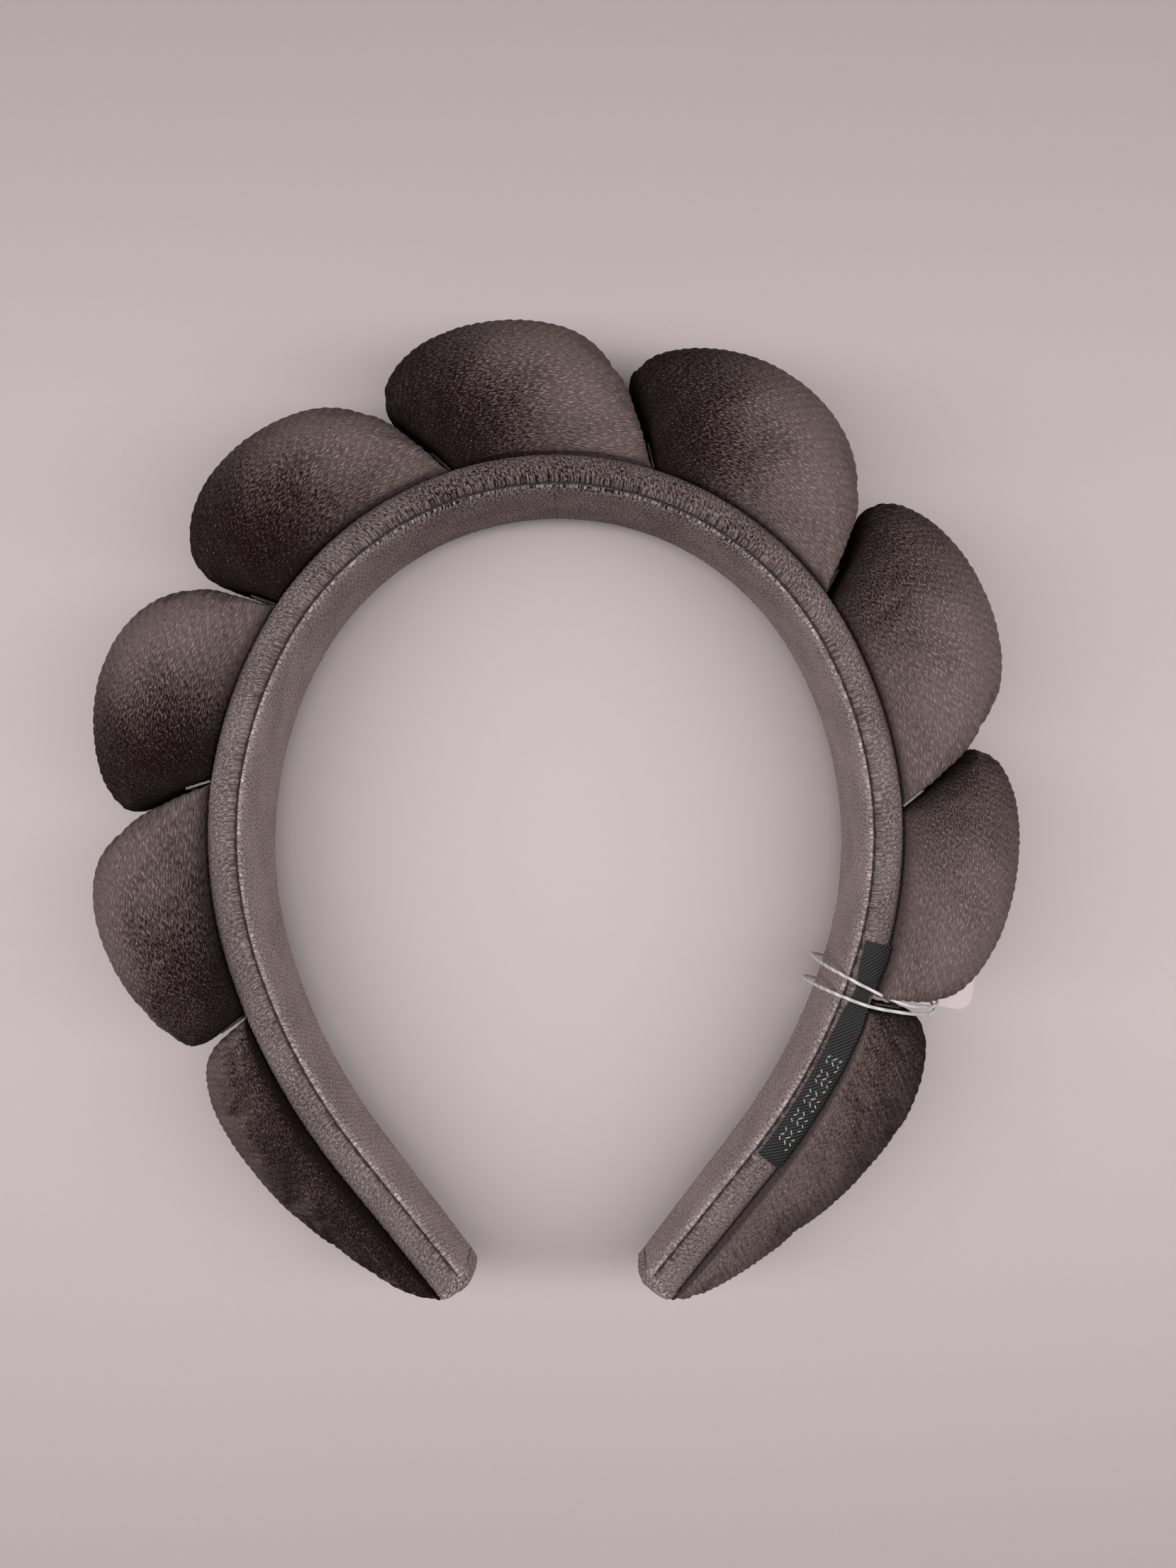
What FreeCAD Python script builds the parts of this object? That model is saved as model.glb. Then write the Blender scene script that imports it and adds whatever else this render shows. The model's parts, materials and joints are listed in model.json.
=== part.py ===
"""Spa headband: a sprung plastic hoop in a padded velour band, with nine gathered puffs round its outside.

It lies on its edge, as on a table: +Z is the width of the band, +Y points to the crown of the head and
+X to the side of the label. A place on the band is given by three numbers: s, the length along the inner
outline from the middle of the crown (negative on the left), n, the distance outward from that outline,
and z.
"""
import FreeCAD, Part
import math
import os

V = FreeCAD.Vector

# ---- Inner outline: (radius, bearing from +Y where the arc ends), then a straight leg ----
HEAD_RADIUS = 53.5
ARCS = ((HEAD_RADIUS, 60.0), (73.0, 107.0), (110.0, 128.0))
LEG_STRAIGHT = 31.3

# ---- Band ----
MID_Z = 20.5  # middle of the band's width above the table
CROWN_HALF_WIDTH = 12.0  # from the crown down to the widest part of the head
TIP_HALF_WIDTH = 5.5
TAPER_LENGTH = 105.0  # along -Y, from the widest part to below the tips
BAND_DEPTH = 6.5  # through the band, from the head to the puffs
CLOTH = 1.2
LINING = (0.0, 1.0)  # each layer's two distances from the inner outline
PADDING = (1.1, 2.2)
HOOP = (2.3, 4.5)
FELT = (4.6, 5.2)
LAYER_INSET = 1.4  # how far the lining, padding and felt stay inside the band's width
HOOP_INSET = 2.2
SEAM_THREAD = (0.9, 1.4)
THREAD_HEIGHT = 0.3
TIP_FOLD = 2.6
TIP_OVERHANG = 0.4

# ---- Flex joints: the hoop's spring bending, gathered at one place on each side ----
JOINT_BEARING = 56.0
JOINT_N = (HOOP[0] + HOOP[1]) / 2
NOSE_RADIUS = (HOOP[1] - HOOP[0]) / 2
SEAT_CLEARANCE = 0.05
BAND_GAP = 0.6  # each side of the joint
OPEN_DEG = 15.0
SQUEEZE_DEG = 4.0

# ---- Puffs ----
PUFF_START = BAND_DEPTH + 0.1
PINCH_GAP = 0.5  # each side of a pinch
STRING_GAP = 1.5  # the same, at the pinch that the tag's string is tied round
JOINT_FAN = OPEN_DEG + 1.5  # how far the arm's side of a jointed pinch leans away
FILL_GAP = 0.2
# Each pinch: s at the band, s at the notch between the two puffs, and the notch's n.
PINCHES = (
    (-124.0, -126.4, 16.0),
    (-83.9, -89.4, 22.0),
    (-52.3, -55.9, 23.0),
    (-16.8, -23.2, 23.0),
    (16.2, 9.6, 23.5),
    (52.3, 45.8, 21.5),
    (88.6, 80.6, 22.0),
    (121.7, 119.8, 17.5),
)
# Each puff: s and n of its middle, then its half length, half depth and half width.
PUFFS = (
    (-142.0, 6.2, 52.0, 15.8, 16.0),
    (-108.5, 15.4, 26.5, 14.6, 20.8),
    (-71.5, 15.6, 25.0, 14.4, 20.9),
    (-38.6, 16.6, 26.5, 16.0, 21.2),
    (-5.4, 17.2, 26.0, 15.4, 21.4),
    (29.6, 17.8, 26.5, 16.2, 21.4),
    (66.4, 16.6, 26.0, 16.0, 21.2),
    (101.0, 15.2, 25.5, 14.6, 19.6),
    (139.0, 6.4, 52.0, 15.4, 16.0),
)
TAG_PUFF = 8  # lies on the tag's card instead of the table
LIFTED_PUFFS = (4, 7)  # each leans over the far side of a flex joint, so it stands clear of the band there
PUFF_LIFT = 0.5
TAG_ROOM = 1.2

# ---- Gather threads ----
GATHER_THREAD = 0.4
GATHER_DEPTH = 4.6
GATHER_HALF_WIDTH = 10.0

# ---- Label, on the right leg ----
LABEL_S = (111.5, 154.5)
LABEL_N = (1.7, 6.3)
LABEL_THICKNESS = 0.5
LABEL_TACK = 0.8

# ---- Hang tag: a card on the table under the eighth puff, and its string ----
CARD_WIDTH = 30.0
CARD_LENGTH = 45.0
CARD_THICKNESS = 0.5
CARD_CORNER = 3.0
CARD_TURN = -9.0
CARD_HOLE = 3.0
CARD_HOLE_INSET = 4.0
CARD_HOLE_AT = (70.3, -39.7)
KNOT_RADIUS = 1.0
STRING_DIAMETER = 0.6
STRING_S = 120.6  # the string is tied round the leg here
# The string's route: (n, distance along the leg from STRING_S, z), from the knot and back to it.
STRING_ROUTE = (
    (18.9, -2.5, 1.5),
    (20.8, -2.3, 3.0),
    (22.4, -2.9, 7.2),
    (22.2, -2.5, 14.2),
    (20.6, -2.2, 22.6),
    (17.0, -1.5, 29.4),
    (11.4, -0.6, 32.8),
    (5.0, -1.2, 33.4),
    (-0.4, -2.0, 32.4),
    (-3.2, -2.3, 28.6),
    (-3.9, -2.5, 22.0),
    (-3.6, -2.6, 14.6),
    (-1.0, -2.5, 9.2),
    (2.9, -2.4, 7.2),
    (5.9, -2.5, 7.0),
    (7.5, -1.0, 7.1),
    (7.4, 1.1, 7.1),
    (5.8, 2.4, 7.0),
    (2.7, 2.3, 7.3),
    (-1.2, 2.2, 9.5),
    (-3.7, 2.1, 14.9),
    (-4.0, 1.9, 21.8),
    (-3.1, 1.7, 28.4),
    (-0.2, 1.6, 32.2),
    (5.2, 1.7, 33.5),
    (11.5, 0.8, 32.6),
    (17.0, 0.0, 29.2),
    (20.5, -0.9, 22.4),
    (22.1, -1.3, 14.0),
    (22.5, -1.7, 7.6),
    (21.4, -1.5, 3.2),
    (19.2, -2.9, 1.6),
)
ARC_SHARE = 0.45  # an arc's tangents take this share of the shorter run beside it
BIG = 300.0


def rad(degrees):
    return math.radians(degrees)


def outward(bearing):
    """The unit vector that points away from the head at a bearing."""
    return V(math.sin(rad(bearing)), math.cos(rad(bearing)), 0)


def arc_table():
    """(start s, end s, centre, radius, start bearing) of each arc of the right half of the inner outline."""
    rows = []
    centre, start, length, last = V(0, 0, 0), 0.0, 0.0, HEAD_RADIUS
    for radius, end in ARCS:
        centre = centre + outward(start) * (last - radius)
        run = radius * rad(end - start)
        rows.append((length, length + run, centre, radius, start))
        start, length, last = end, length + run, radius
    return rows


ROWS = arc_table()
LEG_START = ROWS[-1][1]
S_END = LEG_START + LEG_STRAIGHT
LEG_BEARING = ARCS[-1][1]
JOINT_S = HEAD_RADIUS * rad(JOINT_BEARING)


def half_station(s, n):
    """The point and the bearing at s and n on the right half."""
    for start, end, centre, radius, bearing in ROWS:
        if s <= end:
            here = bearing + math.degrees((s - start) / radius)
            return centre + outward(here) * (radius + n), here
    _, _, centre, radius, _ = ROWS[-1]
    along = V(math.cos(rad(LEG_BEARING)), -math.sin(rad(LEG_BEARING)), 0)
    return centre + outward(LEG_BEARING) * (radius + n) + along * (s - LEG_START), LEG_BEARING


def station(s, n):
    """The point and the signed bearing at s and n on either half."""
    point, bearing = half_station(abs(s), n)
    if s < 0:
        return V(-point.x, point.y, 0), -bearing
    return point, bearing


def along_outline(s0, s1, n):
    """Edges of the outline at the distance n, from s0 to s1."""
    marks = [row[1] for row in ROWS]
    marks += [-m for m in marks]
    inner = sorted((m for m in marks if min(s0, s1) < m < max(s0, s1)), reverse=s0 > s1)
    stops = [s0] + inner + [s1]
    edges = []
    for a, b in zip(stops, stops[1:]):
        start, end = station(a, n)[0], station(b, n)[0]
        if min(abs(a), abs(b)) >= LEG_START - 1e-6:
            edges.append(Part.LineSegment(start, end).toShape())
        else:
            edges.append(Part.Arc(start, station((a + b) / 2, n)[0], end).toShape())
    return edges


def wall(s0, s1, n0, n1, z0=-BIG, z1=BIG):
    """An upright wall that follows the outline, between two distances from it."""
    edges = along_outline(s0, s1, n1)
    edges.append(Part.LineSegment(station(s1, n1)[0], station(s1, n0)[0]).toShape())
    edges += along_outline(s1, s0, n0)
    edges.append(Part.LineSegment(station(s0, n0)[0], station(s0, n1)[0]).toShape())
    face = Part.Face(Part.Wire(Part.__sortEdges__(edges)))
    solid = face.extrude(V(0, 0, z1 - z0))
    solid.translate(V(0, 0, z0))
    return solid


def half_width(y, inset=0.0):
    """Half the band's width at a place down the legs."""
    share = min(max(-y / TAPER_LENGTH, 0), 1)
    return CROWN_HALF_WIDTH + (TIP_HALF_WIDTH - CROWN_HALF_WIDTH) * share - inset


def envelope(inset):
    """The band's width as a long solid along X: even over the head, and narrowing down the legs."""
    ys = (100.0, 0.0, -TAPER_LENGTH)
    upper = [V(-BIG, y, MID_Z + half_width(y, inset)) for y in ys]
    lower = [V(-BIG, y, MID_Z - half_width(y, inset)) for y in reversed(ys)]
    outline = upper + lower
    return Part.Face(Part.makePolygon(outline + outline[:1])).extrude(V(2 * BIG, 0, 0))


def layer(s0, s1, distances, inset):
    return wall(s0, s1, distances[0], distances[1]).common(envelope(inset))


def joint_place(side):
    return station(side * JOINT_S, JOINT_N)[0]


def upright(at, radius, low, high):
    return Part.makeCylinder(radius, high - low, V(at.x, at.y, low))


def make_band(name, s0, s1, parts):
    """Sleeve, lining, padding, felt and seam thread of one stretch of the band."""
    hollow = wall(s0 - 1, s1 + 1, -2, BAND_DEPTH - CLOTH).common(envelope(CLOTH))
    parts["band_sleeve_" + name] = layer(s0, s1, (0, BAND_DEPTH), 0).cut(hollow)
    parts["lining_" + name] = layer(s0, s1, LINING, CLOTH + 0.1)
    parts["padding_" + name] = layer(s0, s1, PADDING, LAYER_INSET)
    parts["felt_backing_" + name] = layer(s0, s1, FELT, LAYER_INSET)
    proud = envelope(-THREAD_HEIGHT).cut(envelope(0))
    parts["seam_thread_" + name] = wall(s0, s1, *SEAM_THREAD).common(proud)


def make_hoop(parts):
    """The hoop in three lengths, with a round nose on each arm in a round seat on the crown."""
    low, high = MID_Z - CROWN_HALF_WIDTH + HOOP_INSET, MID_Z + CROWN_HALF_WIDTH - HOOP_INSET
    crown = layer(-JOINT_S, JOINT_S, HOOP, HOOP_INSET)
    for side, name in ((-1, "left"), (1, "right")):
        at = joint_place(side)
        crown = crown.cut(upright(at, NOSE_RADIUS + SEAT_CLEARANCE, -BIG, BIG))
        ends = sorted((side * JOINT_S, side * (S_END - TIP_FOLD - 1.0)))
        arm = layer(ends[0], ends[1], HOOP, HOOP_INSET)
        parts["hoop_" + name] = arm.fuse(upright(at, NOSE_RADIUS, low, high)).removeSplitter()
    parts["hoop_crown"] = crown


def pinch_cutter(index, after, clearance):
    """Everything on one side of a pinch: after it (towards +s) or before it, and clearance beyond its gap."""
    s_base, s_notch, n_notch = PINCHES[index]
    jointed = index in (2, 5)
    s_root = math.copysign(JOINT_S, s_base) if jointed else s_base
    root = station(s_root, JOINT_N if jointed else BAND_DEPTH)[0]
    notch = station(s_notch, n_notch)[0]
    gap = STRING_GAP if index == 7 else PINCH_GAP
    line = notch - root
    angle = math.degrees(math.atan2(line.y, line.x))
    sign = -1 if after else 1
    keeps_arm = jointed and after == (s_base < 0)
    if keeps_arm:
        angle -= sign * JOINT_FAN
    # +s runs clockwise, so what comes after the pinch lies on the line's right hand.
    box = Part.makeBox(2 * BIG, BIG, 2 * BIG, V(-BIG, 0, -BIG))
    if after:
        box.translate(V(0, -BIG, 0))
    box.translate(V(0, sign * -(gap + clearance), 0))
    box.rotate(V(0, 0, 0), V(0, 0, 1), angle)
    box.translate(root)
    return box


def puff_form(number, shrink, floor):
    """A puff's solid: an ellipsoid between its two pinches, on the band's outside, flat where it lies."""
    s, n, half_length, half_depth, half_height = PUFFS[number - 1]
    centre, bearing = station(s, n)
    out = outward(bearing)
    turn = FreeCAD.Matrix(
        -out.y * (half_length - shrink), out.x * (half_depth - shrink), 0, centre.x,
        out.x * (half_length - shrink), out.y * (half_depth - shrink), 0, centre.y,
        0, 0, half_height - shrink, MID_Z,
        0, 0, 0, 1,
    )
    form = Part.makeSphere(1.0).transformGeometry(turn)
    edges = [p[0] for p in PINCHES]
    low = edges[number - 2] if number > 1 else -S_END
    high = edges[number - 1] if number < len(PUFFS) else S_END
    start = PUFF_START + (PUFF_LIFT if number in LIFTED_PUFFS else 0) + (FILL_GAP if shrink > CLOTH else 0)
    form = form.cut(wall(low - 14, high + 14, -14, start, 0, 2 * MID_Z + 2))
    if number > 1:
        form = form.cut(pinch_cutter(number - 2, False, shrink))
    if number < len(PUFFS):
        form = form.cut(pinch_cutter(number - 1, True, shrink))
    return form.cut(Part.makeBox(2 * BIG, 2 * BIG, BIG, V(-BIG, -BIG, floor - BIG)))


def make_puffs(parts):
    for number in range(1, len(PUFFS) + 1):
        table = TAG_ROOM if number == TAG_PUFF else 0.0
        outer = puff_form(number, 0.0, table)
        inner = puff_form(number, CLOTH, table + CLOTH)
        parts["puff_cover_%d" % number] = outer.cut(inner)
        parts["puff_fill_%d" % number] = puff_form(number, CLOTH + FILL_GAP, table + CLOTH + FILL_GAP)


def make_gather_threads(parts):
    """A loop of clear thread in each pinch, on the side of the crown where the pinch is jointed."""
    for index, (s_base, s_notch, n_notch) in enumerate(PINCHES):
        jointed = index in (2, 5)
        s_root, n_root = (math.copysign(JOINT_S, s_base), JOINT_N) if jointed else (s_base, BAND_DEPTH)
        root = station(s_root, n_root)[0]
        line = station(s_notch, n_notch)[0] - root
        lean = line.getAngle(outward(station(s_base, 0)[1]))
        start = (PUFF_START + GATHER_THREAD - n_root) / math.cos(lean)
        half = GATHER_THREAD / 2
        corner = V(start, -half, -GATHER_HALF_WIDTH)
        block = Part.makeBox(GATHER_DEPTH, GATHER_THREAD, 2 * GATHER_HALF_WIDTH, corner)
        hole = Part.makeBox(
            GATHER_DEPTH - 2 * GATHER_THREAD, 1.0, 2 * (GATHER_HALF_WIDTH - GATHER_THREAD),
            V(start + GATHER_THREAD, -0.5, GATHER_THREAD - GATHER_HALF_WIDTH),
        )
        loop = block.cut(hole)
        if jointed:
            loop.translate(V(0, -0.25 if s_base < 0 else 0.25, 0))
        loop.rotate(V(0, 0, 0), V(0, 0, 1), math.degrees(math.atan2(line.y, line.x)))
        loop.translate(root + V(0, 0, MID_Z))
        parts["gather_thread_%d" % (index + 1)] = loop


def make_tips(parts):
    """The cover's end, folded over each tip of the band."""
    for side, name in ((-1, "left"), (1, "right")):
        ends = sorted((side * (S_END - TIP_FOLD), side * S_END))
        block = wall(ends[0], ends[1], -TIP_OVERHANG, BAND_DEPTH)
        parts["tip_fold_" + name] = block.common(envelope(-TIP_OVERHANG))


def make_label(parts):
    top = envelope(-LABEL_THICKNESS).cut(envelope(0))
    upper = Part.makeBox(2 * BIG, 2 * BIG, BIG, V(-BIG, -BIG, MID_Z))
    on_top = top.common(upper)
    parts["woven_label"] = wall(*LABEL_S, *LABEL_N).common(on_top)
    tacks = envelope(-LABEL_THICKNESS - THREAD_HEIGHT).cut(envelope(-LABEL_THICKNESS)).common(upper)
    inside = (LABEL_N[0] + 0.4, LABEL_N[1] - 0.4)
    first = wall(LABEL_S[0] + 1, LABEL_S[0] + 1 + LABEL_TACK, *inside).common(tacks)
    second = wall(LABEL_S[1] - 1 - LABEL_TACK, LABEL_S[1] - 1, *inside).common(tacks)
    parts["label_tacks"] = Part.makeCompound([first, second])


def make_card(parts):
    half = CARD_WIDTH / 2
    low, high = -CARD_HOLE_INSET, CARD_LENGTH - CARD_HOLE_INSET
    card = Part.makeBox(CARD_WIDTH, CARD_LENGTH, CARD_THICKNESS, V(-half, low, 0))
    corners = [e for e in card.Edges if abs(e.tangentAt(e.FirstParameter).z) > 0.9]
    card = card.makeFillet(CARD_CORNER, corners)
    card = card.cut(Part.makeCylinder(CARD_HOLE / 2, 2 * CARD_THICKNESS, V(0, 0, -CARD_THICKNESS / 2)))
    card.rotate(V(0, 0, 0), V(0, 0, 1), CARD_TURN)
    card.translate(V(CARD_HOLE_AT[0], CARD_HOLE_AT[1], 0))
    parts["tag_card"] = card


def rounded_route(points):
    """Straight runs joined by tangent arcs, as one wire, and the arcs' radii."""
    edges, radii, here = [], [], points[0]
    for before, corner, after in zip(points, points[1:], points[2:]):
        back, on = before - corner, after - corner
        turn = math.pi - back.getAngle(on)
        tangent = ARC_SHARE * min(back.Length, on.Length)
        radii.append(tangent / math.tan(turn / 2))
        back.normalize()
        on.normalize()
        start, end = corner + back * tangent, corner + on * tangent
        middle = back + on
        middle.normalize()
        depth = radii[-1] / math.cos(turn / 2) - radii[-1]
        edges.append(Part.LineSegment(here, start).toShape())
        edges.append(Part.Arc(start, corner + middle * depth, end).toShape())
        here = end
    edges.append(Part.LineSegment(here, points[-1]).toShape())
    return Part.Wire(edges), radii


def make_string(parts):
    """The tag's string, looped round the leg, and the knot that holds it in the card's hole."""
    foot, bearing = station(STRING_S, 0)
    out, along = outward(bearing), V(math.cos(rad(bearing)), -math.sin(rad(bearing)), 0)
    points = [foot + out * n + along * t + V(0, 0, z) for n, t, z in STRING_ROUTE]
    wire, radii = rounded_route(points)
    heading = points[1] - points[0]
    section = Part.Wire(Part.makeCircle(STRING_DIAMETER / 2, points[0], heading))
    tube = wire.makePipeShell([section], True, True)
    parts["tag_string"] = Part.Solid(tube) if tube.ShapeType != "Solid" else tube
    knot = (points[0] + points[-1]) * 0.5
    ball = Part.makeSphere(KNOT_RADIUS, knot + V(0, 0, -0.2))
    parts["string_knot"] = ball.cut(parts["tag_string"])
    expected = math.pi * (STRING_DIAMETER / 2) ** 2 * wire.Length
    print("string: length %.1f, volume %.2f of %.2f" % (wire.Length, tube.Volume, expected))
    print("string radii:", " ".join("%.1f" % r for r in radii))
    print("string route:", ", ".join("(%.2f, %.2f, %.2f)" % (p.x, p.y, p.z) for p in points))


def main():
    parts = {}
    tip = S_END - TIP_FOLD - 0.1
    make_band("crown", -JOINT_S + BAND_GAP, JOINT_S - BAND_GAP, parts)
    make_band("left", -tip, -JOINT_S - BAND_GAP, parts)
    make_band("right", JOINT_S + BAND_GAP, tip, parts)
    make_hoop(parts)
    make_puffs(parts)
    make_gather_threads(parts)
    make_tips(parts)
    make_label(parts)
    make_card(parts)
    make_string(parts)
    # The origin is under the middle of the headband itself, without its tag.
    hung = ("tag_card", "tag_string", "string_knot")
    box = Part.makeCompound([s for name, s in parts.items() if name not in hung]).optimalBoundingBox(False)
    shift = V(-box.Center.x, -box.Center.y, -box.ZMin)
    print("shift:", shift, "size: %.2f %.2f %.2f" % (box.XLength, box.YLength, box.ZLength))
    for side in (-1, 1):
        print("joint:", joint_place(side) + shift)
    os.makedirs("parts", exist_ok=True)
    for name, shape in parts.items():
        shape.translate(shift)
        shape.exportStep("parts/%s.step" % name)


main()
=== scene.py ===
"""Spa headband: velour puffs, band, lining, seams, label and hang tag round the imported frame.

Lengths are in metres. A place on the band is s, the length along the inner outline from the middle of the
crown (negative on the left), n, the distance outward from that outline, and z. The cloth map is a UV map in
millimetres: U counts across the ribs of the velour and V runs along them.
"""
import json
import math
import random

import bmesh
import bpy
import numpy as np
from bpy.props import FloatProperty, FloatVectorProperty, PointerProperty
from mathutils import Matrix, Vector


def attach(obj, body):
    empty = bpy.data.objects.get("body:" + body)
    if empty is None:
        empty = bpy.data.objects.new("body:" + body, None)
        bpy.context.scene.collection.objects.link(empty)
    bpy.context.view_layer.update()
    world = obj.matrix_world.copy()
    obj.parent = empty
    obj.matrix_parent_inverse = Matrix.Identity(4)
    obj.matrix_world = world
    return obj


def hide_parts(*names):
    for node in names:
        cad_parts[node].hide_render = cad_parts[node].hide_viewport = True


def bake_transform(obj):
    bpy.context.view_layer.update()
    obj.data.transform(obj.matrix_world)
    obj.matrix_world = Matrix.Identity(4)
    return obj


bl_info = {
    "name": "Spa headband",
    "version": (1, 0, 0),
    "blender": (4, 5, 0),
    "location": "View3D > Sidebar > Headband",
    "description": "Builds the velour, seams, label, tag and stage of a puffy spa headband",
    "category": "Object",
}

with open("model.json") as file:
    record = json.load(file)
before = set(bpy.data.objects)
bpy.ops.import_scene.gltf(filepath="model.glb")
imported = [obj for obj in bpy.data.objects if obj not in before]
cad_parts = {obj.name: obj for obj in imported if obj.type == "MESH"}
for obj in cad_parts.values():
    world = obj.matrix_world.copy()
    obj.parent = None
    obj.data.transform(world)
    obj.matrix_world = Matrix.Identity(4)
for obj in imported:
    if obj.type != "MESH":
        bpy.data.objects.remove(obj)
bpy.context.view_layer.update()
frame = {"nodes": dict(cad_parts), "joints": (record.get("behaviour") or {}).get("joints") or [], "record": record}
MM = 0.001
SEAT = next(m for m in frame["record"]["mounts"] if m["name"] == "head_seat")
HEAD = Vector((SEAT["pos_m"][0], SEAT["pos_m"][1], 0))
MID_Z = SEAT["pos_m"][2]
HEAD_RADIUS = SEAT["dims"]["r_mm"] * MM

# ---- Inner outline: (radius, bearing from +Y where the arc ends), then a straight leg ----
ARCS = ((HEAD_RADIUS, 60.0), (0.073, 107.0), (0.110, 128.0))
LEG_STRAIGHT = 0.0313
JOINT_N = 0.0034

# ---- Band ----
CROWN_HALF_WIDTH = 0.012
TIP_HALF_WIDTH = 0.0055
TAPER_LENGTH = 0.105
BAND_DEPTH = 0.0065
TIP_FOLD = 0.0026

# ---- Puffs ----
JOINTED = (2, 5)
STRING_PINCH = 7
# Each pinch: s at the band, s at the notch between the two puffs, and the notch's n, in millimetres.
PINCHES = (
    (-124.0, -127.4, 18.5), (-83.9, -91.3, 23.2), (-52.3, -56.0, 22.2), (-16.8, -23.7, 23.3),
    (16.2, 8.4, 24.6), (52.3, 43.7, 24.4), (88.6, 80.0, 23.7), (121.7, 119.9, 17.4),
)
# Each puff: n of its outside a quarter, half and three quarters of the way clockwise along it, its half
# height, and its lap over the band, in millimetres.
PUFFS = (
    (15.8, 19.2, 21.0, 15.4, 6.4),
    (24.2, 27.9, 29.3, 20.8, 6.2),
    (29.7, 32.1, 30.7, 20.9, 6.4),
    (31.1, 32.2, 30.2, 21.2, 5.2),
    (31.9, 33.1, 31.8, 21.4, 4.4),
    (31.9, 33.9, 31.9, 21.4, 4.6),
    (32.2, 33.2, 31.4, 21.2, 5.6),
    (29.4, 28.8, 26.2, 19.6, 6.4),
    (22.8, 20.3, 16.2, 15.2, 6.5),
)
PUFF_INSIDE = 1.8  # n where a puff's section would close if the band were not there
END_INSIDE = 0.0  # the same for the two end puffs
END_S, END_N = 186.4, 10.0  # where the end puffs finish at the tips
PUFF_CORE = 0.017  # n of the line that a puff's frame and cloth map turn round
GATHER_GAP, STRING_GAP = 0.00012, 0.0012  # from a pinch to the puff beside it, without and with the string
CLEARANCE = 0.0001
FILL_FRAMES = 20
CLOTH_SETTINGS = {
    "quality": 6, "mass": 0.05, "use_pressure": True, "shrink_min": -0.02, "tension_stiffness": 12,
    "compression_stiffness": 12, "shear_stiffness": 5, "bending_stiffness": 0.4,
}
END_RIB_LEAN = math.radians(28)
FAN_REACH, FAN_RADIUS = 0.028, 0.041  # the ribs of the other puffs fan out from a point beside them
# Each puff's painted sheen and shade: its value at the puff's middle, and how much that grows clockwise along it.
PAINTED_SHEEN_BY_PUFF = (
    (-0.35, 0.25), (0.1, 0.35), (0.1, 0.85), (0.0, 0.75), (0.15, 0.8), (0.25, 0.85), (0.45, 0.55),
    (0.55, 0.45), (0.3, 0.25),
)
TAG_PUFF = 8
TAG_ROOM = 0.0012

# ---- Label ----
LABEL_S = (0.1115, 0.1545)
LABEL_N = (0.0017, 0.0063)
LABEL_LIFT = 0.0015  # above the band's nominal top edge
LABEL_TAPE = 0.00032
LABEL_BULGE = 0.0002
LABEL_RIPPLE, RIPPLE_TURN = 0.00008, 900
MARKS_S = (0.1330, 0.1512)
MARK_PITCH = 0.0010
MARK_ROWS = ((0.0030, 0.0009), (0.0042, 0.0012), (0.0053, 0.0008))  # (n, length)

# ---- Seams and ribs of the band ----
SEAM_N = 0.0012
SEAM_Z = 0.01195
SEAM_START, SEAM_STOP = 0.0016, 0.002
BAND_STEP = 0.00034
BAND_PITCH = 1.05

# ---- Tag string: (n, distance along the leg from STRING_S, z), from the knot and back to it ----
STRING_DIAMETER = 0.0006
STRING_S = 0.1206
STRING_ROUTE = (
    (18.9, -2.5, 1.5), (20.8, -2.3, 3.0), (22.4, -2.9, 7.2), (22.2, -2.5, 14.2),
    (20.6, -2.2, 22.6), (17.0, -1.5, 29.4), (11.4, -0.6, 32.8), (5.0, -1.2, 33.4),
    (-0.4, -2.0, 32.4), (-3.2, -2.3, 28.6), (-3.9, -2.5, 22.0), (-3.6, -2.6, 14.6),
    (-1.0, -2.5, 9.2), (2.9, -2.4, 7.2), (5.9, -2.5, 7.0), (7.5, -1.0, 7.1),
    (7.4, 1.1, 7.1), (5.8, 2.4, 7.0), (2.7, 2.3, 7.3), (-1.2, 2.2, 9.5),
    (-3.7, 2.1, 14.9), (-4.0, 1.9, 21.8), (-3.1, 1.7, 28.4), (-0.2, 1.6, 32.2),
    (5.2, 1.7, 33.5), (11.5, 0.8, 32.6), (17.0, 0.0, 29.2), (20.5, -0.9, 22.4),
    (22.1, -1.3, 14.0), (22.5, -1.7, 7.6), (21.4, -1.5, 3.2), (19.2, -2.9, 1.6),
)

# ---- Stage ----
CAMERA_XY = (0.00559, 0.00963)


# ---- Places along the band ----
def outward(bearing):
    """The unit vector that points away from the head at a bearing in degrees."""
    return Vector((math.sin(math.radians(bearing)), math.cos(math.radians(bearing)), 0))


def clockwise(out):
    """The unit vector that runs clockwise along the band, from the outward one there."""
    return Vector((out[1], -out[0], 0))


def arc_table():
    """(start s, end s, centre, radius, start bearing) of each arc of the right half of the inner outline."""
    rows = []
    centre, start, length, last = Vector((0, 0, 0)), 0.0, 0.0, HEAD_RADIUS
    for radius, end in ARCS:
        centre = centre + outward(start) * (last - radius)
        run = radius * math.radians(end - start)
        rows.append((length, length + run, centre, radius, start))
        start, length, last = end, length + run, radius
    return rows


ROWS = arc_table()
LEG_START = ROWS[-1][1]
LEG_BEARING = ARCS[-1][1]
LEG_ALONG = clockwise(outward(LEG_BEARING))
LEG_FOOT = ROWS[-1][2] + outward(LEG_BEARING) * ROWS[-1][3]
S_END = LEG_START + LEG_STRAIGHT
JOINT_S = next(abs(j["pos_m"][0] - HEAD.x) for j in frame["joints"])
JOINT_S = HEAD_RADIUS * math.asin(JOINT_S / (HEAD_RADIUS + JOINT_N))


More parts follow.
